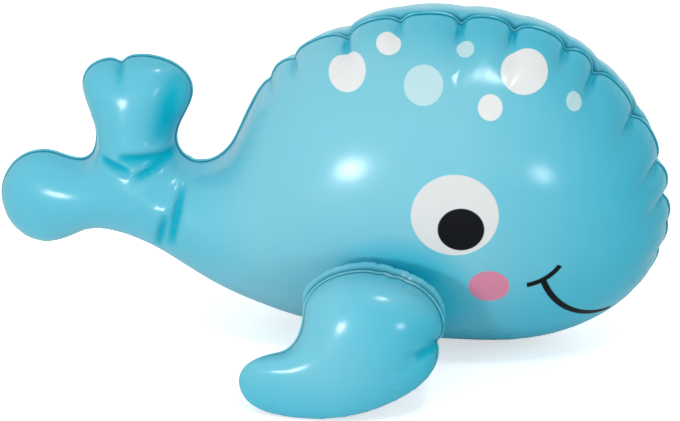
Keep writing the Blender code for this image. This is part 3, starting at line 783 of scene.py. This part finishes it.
class FilmCut:
    """One film of a welded pair as it lies before the air goes in."""

    def __init__(self, film, shape, size, side, lands=(), overhang=no_overhang,
                 tuck_share=1.0, top_heavy=0.0):
        nodes, tucks, creases = shape
        pitch, puff, flange = size
        self.side = side
        self.lands = lands
        loop = outline(nodes, pitch)
        normals = inward_normals(loop)
        steps = np.linalg.norm(np.roll(loop, -1, axis=0) - loop, axis=1)
        along = np.cumsum(steps) - steps
        dip = np.zeros(len(loop))
        folds = []
        for x, z, depth, length in tucks:
            k = int(np.argmin(np.linalg.norm(loop - (x, z), axis=1)))
            away = np.abs(along - along[k])
            away = np.minimum(away, steps.sum() - away)
            dip = np.maximum(dip, depth * np.exp(-away / film.tuck_width))
            folds.append((k, depth, length))
        tip = loop + (dip - film.reach)[:, None] * normals
        seam = tip + flange * normals
        self.crest = seam - (film.lip + overhang(film, loop, dip))[:, None] * normals
        points, triangles = cut_film(self.crest, pitch, lands)
        rise = np.sqrt(film.roll**2 + (puff * bulge(points, triangles, len(loop))) ** 2)
        toe = 1.0 - smooth_run(points[:, 0], *TOE_RUN)
        rise *= 1.0 + top_heavy * (points[:, 1] / FIN_MIDDLE - 1.0)
        rise *= 1.0 + TOE_SHARE * top_heavy * toe * (points[:, 1] / TOE_MIDDLE - 1.0)
        drawn = np.zeros(len(points))
        for k, depth, length in folds:
            drawn += self.fold(points, rise, normals[k], self.crest[k], tuck_share * depth, length,
                               film.fold_width)
        for crease in creases:
            drawn += self.crease(points, rise, crease)
        rise -= drawn
        for land in lands:
            rise += self.draw_flat(points, rise, land)
        rise = np.maximum(rise, 2.0 * film.weld)
        weld = np.full(2 * len(loop), film.weld)
        plane = np.concatenate((points, seam, tip))
        height = np.concatenate((rise, weld))
        self.plane = plane
        self.points = np.stack((plane[:, 0], side * height, plane[:, 1]), axis=1)
        self.faces = self.all_faces(triangles, len(points), len(loop))
        self.pinned = self.held_points(len(points))
        bare = np.zeros(len(loop))
        self.marks = {
            "edge": np.concatenate((np.zeros(len(points)), bare + 1.0, bare + 2.0)),
            # Depth of folds and creases, which the finish turns into painted shade
            "crease_shade": np.concatenate((np.clip(drawn / FULL_DEPTH, 0.0, 1.0), bare, bare)),
        }

    @staticmethod
    def fold(points, rise, way, start, depth, length, width):
        """How far the film is drawn in along the fold behind one tuck."""
        offset = points - start
        along = offset @ way
        across = offset @ np.array((way[1], -way[0]))
        fade = np.clip(1.0 - along / length, 0.0, 1.0) * (along > -FOLD_LEAD)
        full = np.minimum(1.0, rise / FULL_RISE)
        return FOLD_SHARE * depth * fade * np.exp(-((across / width) ** 2)) * full

    @staticmethod
    def crease(points, rise, crease):
        """How far the film is drawn in along one crease, fading to both its ends."""
        start, end = np.array(crease[0:2]), np.array(crease[2:4])
        depth, width = crease[4:6]
        length = np.linalg.norm(end - start)
        way = (end - start) / length
        offset = points - start
        along = np.clip(offset @ way / length, 0.0, 1.0)
        away = np.linalg.norm(offset - along[:, None] * length * way, axis=1)
        fade = np.clip(4.0 * along * (1.0 - along), 0.0, 1.0) ** 0.5
        return depth * fade * np.exp(-((away / width) ** 2)) * np.minimum(1.0, rise / FULL_RISE)

    @staticmethod
    def draw_flat(points, rise, land):
        """How far the film moves to lie flat on a land and fade into the bulge around it."""
        offset = points - land["centre"]
        flat = land["rise"] + offset @ land["slope"]
        share = 1.0 - smooth_run(np.linalg.norm(offset, axis=1), land["weld"], LAND_BLEND)
        return share * (flat - rise)

    def all_faces(self, triangles, start, count):
        """The bulge, the groove down to the seam and the flange outside it, facing out."""
        faces = [tuple(int(v) for v in face) for face in triangles]
        tip = start + count
        for k in range(count):
            n = (k + 1) % count
            faces.append((n, k, start + k, start + n))
            faces.append((start + n, start + k, tip + k, tip + n))
        if self.side > 0:
            faces = [tuple(reversed(face)) for face in faces]
        return faces

    def held_points(self, start):
        """The seam, the flange and every land stay where they are welded."""
        held = np.arange(len(self.points)) >= start
        for land in self.lands:
            held |= np.linalg.norm(self.plane - land["centre"], axis=1) < land["weld"] * 1.01
        return np.nonzero(held)[0]


def deselect_all():
    """Leave edit mode and select nothing."""
    if bpy.context.object and bpy.context.object.mode != "OBJECT":
        bpy.ops.object.mode_set(mode="OBJECT")
    bpy.ops.object.select_all(action="DESELECT")


def make_active(piece):
    """Select one piece alone."""
    deselect_all()
    piece.select_set(True)
    bpy.context.view_layer.objects.active = piece


def lay_flat(piece, plane):
    """Unwrap a film, so that prints follow it, and lay the pattern over the side view at its true size."""
    make_active(piece)
    piece.data.uv_layers.new(name="flat")
    bpy.ops.object.mode_set(mode="EDIT")
    bpy.ops.mesh.select_all(action="SELECT")
    bpy.ops.uv.unwrap(method="ANGLE_BASED", margin=0.0)
    bpy.ops.object.mode_set(mode="OBJECT")
    mesh = piece.data
    corners = np.empty(len(mesh.loops) * 2)
    mesh.uv_layers["flat"].data.foreach_get("uv", corners)
    corners = corners[0::2] + 1j * corners[1::2]
    owners = np.empty(len(mesh.loops), dtype=int)
    mesh.loops.foreach_get("vertex_index", owners)
    rise = np.abs(np.array([v.co.y for v in mesh.vertices]))[owners]
    want = (plane[:, 0] + 1j * plane[:, 1])[owners]
    top = rise > BULGE_TOP * rise.max()
    best = None
    for pattern in (corners, corners.conj()):
        system = np.stack((pattern[top], np.ones(top.sum())), axis=1)
        answer = np.linalg.lstsq(system, want[top], rcond=None)[0]
        laid = pattern * answer[0] + answer[1]
        miss = np.abs(laid - want)[top].mean()
        if best is None or miss < best[0]:
            best = (miss, laid)
    pairs = np.stack((best[1].real, best[1].imag), axis=1)
    mesh.uv_layers["flat"].data.foreach_set("uv", pairs.ravel())


def blow_up(piece, film, cut, slack):
    """Let air into the film with cloth, then keep the settled shape."""
    held = piece.vertex_groups.new(name="held")
    held.add([int(v) for v in cut.pinned], 1.0, "REPLACE")
    taut = piece.vertex_groups.new(name="taut")
    for v, share in enumerate(slack):
        taut.add([v], float(1.0 - share), "REPLACE")
    cloth = piece.modifiers.new("air", "CLOTH")
    settings = cloth.settings
    settings.quality = 6
    settings.mass = 0.02
    settings.air_damping = 2.0
    settings.tension_stiffness = 40.0
    settings.compression_stiffness = 40.0
    settings.shear_stiffness = 12.0
    settings.bending_stiffness = 0.05
    settings.use_pressure = True
    settings.uniform_pressure_force = film.air
    settings.vertex_group_mass = "held"
    settings.vertex_group_shrink = "taut"
    settings.shrink_min = -1.0
    settings.shrink_max = 0.0
    settings.effector_weights.gravity = 0.0
    cloth.collision_settings.use_collision = False
    cloth.collision_settings.use_self_collision = False
    cloth.point_cache.frame_start = 1
    cloth.point_cache.frame_end = film.frames
    for number in range(1, film.frames + 1):
        bpy.context.scene.frame_set(number)
    make_active(piece)
    bpy.ops.object.modifier_apply(modifier="air")
    bpy.context.scene.frame_set(1)
    piece.vertex_groups.clear()


def read_points(mesh):
    """A mesh's points as rows."""
    points = np.empty(len(mesh.vertices) * 3)
    mesh.vertices.foreach_get("co", points)
    return points.reshape(-1, 3)


def write_points(mesh, points):
    """Move a mesh's points."""
    mesh.vertices.foreach_set("co", points.ravel())
    mesh.update()


def rest_on_ground(points):
    """Press what would reach into the ground up onto it."""
    low = points[:, 2] < GROUND_SOFT
    points[low, 2] = GROUND_SOFT * np.exp((points[low, 2] - GROUND_SOFT) / GROUND_SOFT)


def film_piece(name, film, cut, gather, material, place=None):
    """One film: cut, laid out for printing, blown up, rested on the ground and given its wall."""
    band, slack, share = gather
    mesh = bpy.data.meshes.new(name)
    mesh.from_pydata((cut.points * CLOTH_SCALE).tolist(), [], cut.faces)
    mesh.update()
    piece = bpy.data.objects.new(name, mesh)
    bpy.context.scene.collection.objects.link(piece)
    for mark, values in cut.marks.items():
        mesh.attributes.new(mark, "FLOAT", "POINT").data.foreach_set("value", values)
    lay_flat(piece, cut.plane)
    near = np.clip(1.0 - distance_to(cut.plane, cut.crest) / band, 0.0, 1.0)
    blow_up(piece, film, cut, slack * share(cut.plane) * near)
    mesh = piece.data
    points = read_points(mesh) / CLOTH_SCALE
    points[:, 1] = cut.side * np.maximum(cut.side * points[:, 1], film.weld)
    write_points(mesh, points)
    make_active(piece)
    round_off = piece.modifiers.new("round", "SUBSURF")
    round_off.levels = 1
    round_off.render_levels = 1
    bpy.ops.object.modifier_apply(modifier="round")
    if place is not None:
        piece.data.transform(place)
    points = read_points(piece.data)
    rest_on_ground(points)
    write_points(piece.data, points)
    wall = piece.modifiers.new("wall", "SOLIDIFY")
    wall.thickness = film.wall
    wall.offset = -1.0
    bpy.ops.object.modifier_apply(modifier="wall")
    piece.data.shade_smooth()
    piece.data.materials.append(material)
    return piece


def flat_land(centre, hole, weld, rise, slope):
    """A flat place on a film: the radii of its hole and weld, and its plane over the seam's plane."""
    return {"centre": np.array(centre), "hole": hole, "weld": weld, "rise": rise, "slope": np.array(slope)}


def body_port(fins):
    """The flat weld of a fin's air port on the body film."""
    slope = (0.0, math.tan(fins.port_lean))
    return flat_land((fins.port_x, fins.port_z), fins.port_hole, fins.port_weld, fins.port_stand, slope)


def valve_land(valve):
    """The flat place on the left film that the valve sits in."""
    out = Vector(joint_axis("valve_stem_slide"))
    slope = (-out.x / out.y, -out.z / out.y)
    return flat_land((valve.x, valve.z), valve.hole, valve.weld, valve.stand, slope)


def joint_axis(name):
    """The axis of one of the frame's joints."""
    return next(joint["axis"] for joint in frame["joints"] if joint["name"] == name)


class WHALE_OT_body(bpy.types.Operator):
    """Blow up the two films of the body"""

    bl_idname = "whale.body"
    bl_label = "Body films"

    def execute(self, context):
        film = context.scene.whale_film
        port = body_port(context.scene.whale_fins)
        valve = valve_land(context.scene.whale_valve)
        material = film_finish("printed_vinyl", film, context.scene.whale_prints)
        shape = (BODY_OUTLINE, BODY_TUCKS, BODY_CREASES)
        size = (film.body_pitch, film.body_puff, film.body_flange)
        cuts = {
            "right": FilmCut(film, shape, size, RIGHT, (port,)),
            "left": FilmCut(film, shape, size, LEFT, (port, valve), over_back, 1.0 - film.calm),
        }
        gather = (film.body_band, film.body_slack, slack_of_body)
        for word, cut in cuts.items():
            piece = film_piece("body_film_" + word, film, cut, gather, material)
            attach(piece, "body")
            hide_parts("body_panel_" + word)
        return {"FINISHED"}


class WHALE_OT_fins(bpy.types.Operator):
    """Blow up the two films of each fin"""

    bl_idname = "whale.fins"
    bl_label = "Fin films"

    def execute(self, context):
        film = context.scene.whale_film
        fins = context.scene.whale_fins
        material = film_finish("plain_vinyl", film)
        for side, word in ((RIGHT, "right"), (LEFT, "left")):
            self.add_fin(film, fins, side, "fin_" + word, material)
        return {"FINISHED"}

    def add_fin(self, film, fins, side, body, material):
        """One fin, its inner film drawn out to the air port."""
        turn = Matrix.Rotation(side * fins.tilt, 4, "X")
        stand = Matrix.Translation((0.0, side * fins.stance, 0.0))
        place = stand @ turn @ Matrix.Translation((0.0, 0.0, fins.lift))
        port = self.fin_port(fins, side, place.inverted())
        shape = (FIN_OUTLINE, FIN_TUCKS, FIN_CREASES)
        size = (film.fin_pitch, film.fin_puff, film.fin_flange)
        cuts = {
            "outer": FilmCut(film, shape, size, side, (), over_foot, 1.0, film.top_heavy),
            "inner": FilmCut(film, shape, size, -side, (port,), over_top),
        }
        gather = (film.fin_band, film.fin_slack, slack_all_round)
        for word, cut in cuts.items():
            name = body + "_" + word
            piece = film_piece(name + "_film", film, cut, gather, material, place)
            if word == "outer":
                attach(piece, body)
            else:
                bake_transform(piece)
            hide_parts(name + "_panel")

    @staticmethod
    def fin_port(fins, side, into_fin):
        """The fin's side of the air port, in the fin's own plane."""
        out = Vector((0.0, side * math.cos(fins.port_lean), -math.sin(fins.port_lean)))
        centre = into_fin @ (Vector((fins.port_x, side * fins.port_stand, fins.port_z)) + PORT_GAP * out)
        normal = into_fin.to_3x3() @ out
        slope = (side * normal.x / normal.y, side * normal.z / normal.y)
        return flat_land((centre.x, centre.z), fins.port_hole, fins.port_weld, -side * centre.y, slope)


class WHALE_OT_valve(bpy.types.Operator):
    """Finish the moulded pieces of the air valve"""

    bl_idname = "whale.valve"
    bl_label = "Air valve"

    def execute(self, context):
        valve = context.scene.whale_valve
        material = valve_finish("milky_vinyl", valve)
        for name in ("valve_base", "valve_check_flap"):
            node = frame["nodes"][name]
            node.data.materials.clear()
            node.data.materials.append(material)
        for name in ("valve_stem", "valve_plug"):
            piece = self.rounded_copy(name, valve.edge)
            piece.data.materials.clear()
            piece.data.materials.append(material)
            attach(piece, name)
            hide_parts(name)
        return {"FINISHED"}

    @staticmethod
    def rounded_copy(name, radius):
        """A moulded piece in the node's place, its sharp edges rounded off."""
        node = frame["nodes"][name]
        mesh = node.data.copy()
        mesh.transform(node.matrix_world)
        piece = bpy.data.objects.new(name + "_moulding", mesh)
        bpy.context.scene.collection.objects.link(piece)
        make_active(piece)
        bpy.ops.object.mode_set(mode="EDIT")
        bpy.ops.mesh.select_mode(type="VERT")
        bpy.ops.mesh.select_all(action="SELECT")
        bpy.ops.mesh.remove_doubles(threshold=ONE_POINT)
        bpy.ops.mesh.customdata_custom_splitnormals_clear()
        bpy.ops.mesh.dissolve_limited(angle_limit=FLAT_ANGLE)
        bpy.ops.mesh.select_mode(type="EDGE")
        bpy.ops.mesh.select_all(action="DESELECT")
        bpy.ops.mesh.edges_select_sharp(sharpness=SHARP_ANGLE)
        bpy.ops.mesh.bevel(offset=radius, segments=ROUND_STEPS, affect="EDGES", clamp_overlap=True)
        bpy.ops.mesh.select_all(action="SELECT")
        bpy.ops.mesh.normals_make_consistent(inside=False)
        bpy.ops.object.mode_set(mode="OBJECT")
        piece.data.shade_smooth()
        return piece


class WHALE_OT_stage(bpy.types.Operator):
    """Set up the floor, the light and the camera"""

    bl_idname = "whale.stage"
    bl_label = "White studio"

    def execute(self, context):
        stage = context.scene.whale_stage
        self.add_floor(stage)
        self.add_world(context.scene, stage)
        for lamp in LAMPS:
            self.add_lamp(*lamp)
        self.add_camera(context.scene, stage)
        context.scene.view_settings.view_transform = "Standard"
        return {"FINISHED"}

    @staticmethod
    def add_floor(stage):
        """A white floor that keeps the shadow under the object."""
        deselect_all()
        bpy.ops.mesh.primitive_plane_add(size=stage.floor, location=(0.0, 0.0, 0.0))
        floor = bpy.context.object
        floor.name = "studio_floor"
        finish = Finish(bpy.data.materials.new("white_floor"))
        ray = finish.node("ShaderNodeLightPath", output="Is Camera Ray")
        glow = finish.mix(ray, grey(0.0), grey(FLOOR_GLOW))
        finish.set(base_color=grey(FLOOR_WHITE), roughness=0.9, specular_ior_level=0.0)
        finish.set(emission_color=glow, emission_strength=1.0)
        floor.data.materials.append(finish.owner)

    @staticmethod
    def add_world(scene, stage):
        """White all round to the camera and in reflections, and dimmer as light."""
        scene.world = bpy.data.worlds.new("white_studio")
        finish = Finish(scene.world)
        seen = finish.node("ShaderNodeLightPath", output="Is Camera Ray")
        mirrored = finish.node("ShaderNodeLightPath", output="Is Glossy Ray")
        through = finish.node("ShaderNodeLightPath", output="Is Transmission Ray")
        shown = (seen + mirrored + through).held()
        way = finish.node("ShaderNodeTexCoord", output="Generated")
        lean = sum(part * share for part, share in zip(finish.parts(way), LIGHT_LEAN))
        light = (1.0 + lean) * stage.ambient
        back = finish.tree.nodes["Background"]
        back.inputs["Color"].default_value = grey(1.0)
        finish.fill(back.inputs["Strength"], shown + (1.0 - shown) * light)

    @staticmethod
    def add_lamp(name, place, size, power, mirrored):
        """One soft round lamp that faces the object, and shows in its gloss or not."""
        deselect_all()
        turn = (Vector(LAMP_AIM) - Vector(place)).to_track_quat("-Z", "Y").to_euler()
        bpy.ops.object.light_add(type="AREA", location=place, rotation=turn)
        lamp = bpy.context.object
        lamp.name = name
        lamp.data.shape = "DISK"
        lamp.data.size = size
        lamp.data.energy = power
        lamp.visible_glossy = mirrored

    @staticmethod
    def add_camera(scene, stage):
        """The camera at the photo's angle."""
        deselect_all()
        level = math.cos(stage.elevation)
        ahead, aside = math.sin(stage.azimuth) * level, -math.cos(stage.azimuth) * level
        way = Vector((ahead, aside, math.sin(stage.elevation)))
        place = Vector(stage.aim) + stage.distance * way
        bpy.ops.object.camera_add(location=place, rotation=way.to_track_quat("Z", "Y").to_euler())
        scene.camera = bpy.context.object
        scene.camera.data.lens = stage.lens


class WHALE_PT_pieces(bpy.types.Panel):
    """Lists the whale's pieces and their sizes"""

    bl_label = "Blown-up whale"
    bl_space_type = "VIEW_3D"
    bl_region_type = "UI"
    bl_category = "Whale"

    def draw(self, context):
        for operator in OPERATORS:
            self.layout.operator(operator.bl_idname)
        for name in GROUPS:
            box = self.layout.box()
            group = getattr(context.scene, name)
            for key in group.__annotations__:
                box.prop(group, key)


GROUPS = {
    "whale_film": WhaleFilm,
    "whale_prints": WhalePrints,
    "whale_fins": WhaleFins,
    "whale_valve": WhaleValve,
    "whale_stage": WhaleStage,
}
OPERATORS = (WHALE_OT_stage, WHALE_OT_body, WHALE_OT_fins, WHALE_OT_valve)


def register():
    """Add the groups of sizes, the operators and the panel."""
    for name, group in GROUPS.items():
        bpy.utils.register_class(group)
        setattr(bpy.types.Scene, name, PointerProperty(type=group))
    for operator in OPERATORS:
        bpy.utils.register_class(operator)
    bpy.utils.register_class(WHALE_PT_pieces)


def unregister():
    """Take them away again."""
    bpy.utils.unregister_class(WHALE_PT_pieces)
    for operator in reversed(OPERATORS):
        bpy.utils.unregister_class(operator)
    for name, group in GROUPS.items():
        delattr(bpy.types.Scene, name)
        bpy.utils.unregister_class(group)


def main():
    """Build every piece and the studio."""
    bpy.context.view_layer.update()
    register()
    bpy.ops.whale.stage()
    bpy.ops.whale.body()
    bpy.ops.whale.fins()
    bpy.ops.whale.valve()


if __name__ == "__main__":
    main()
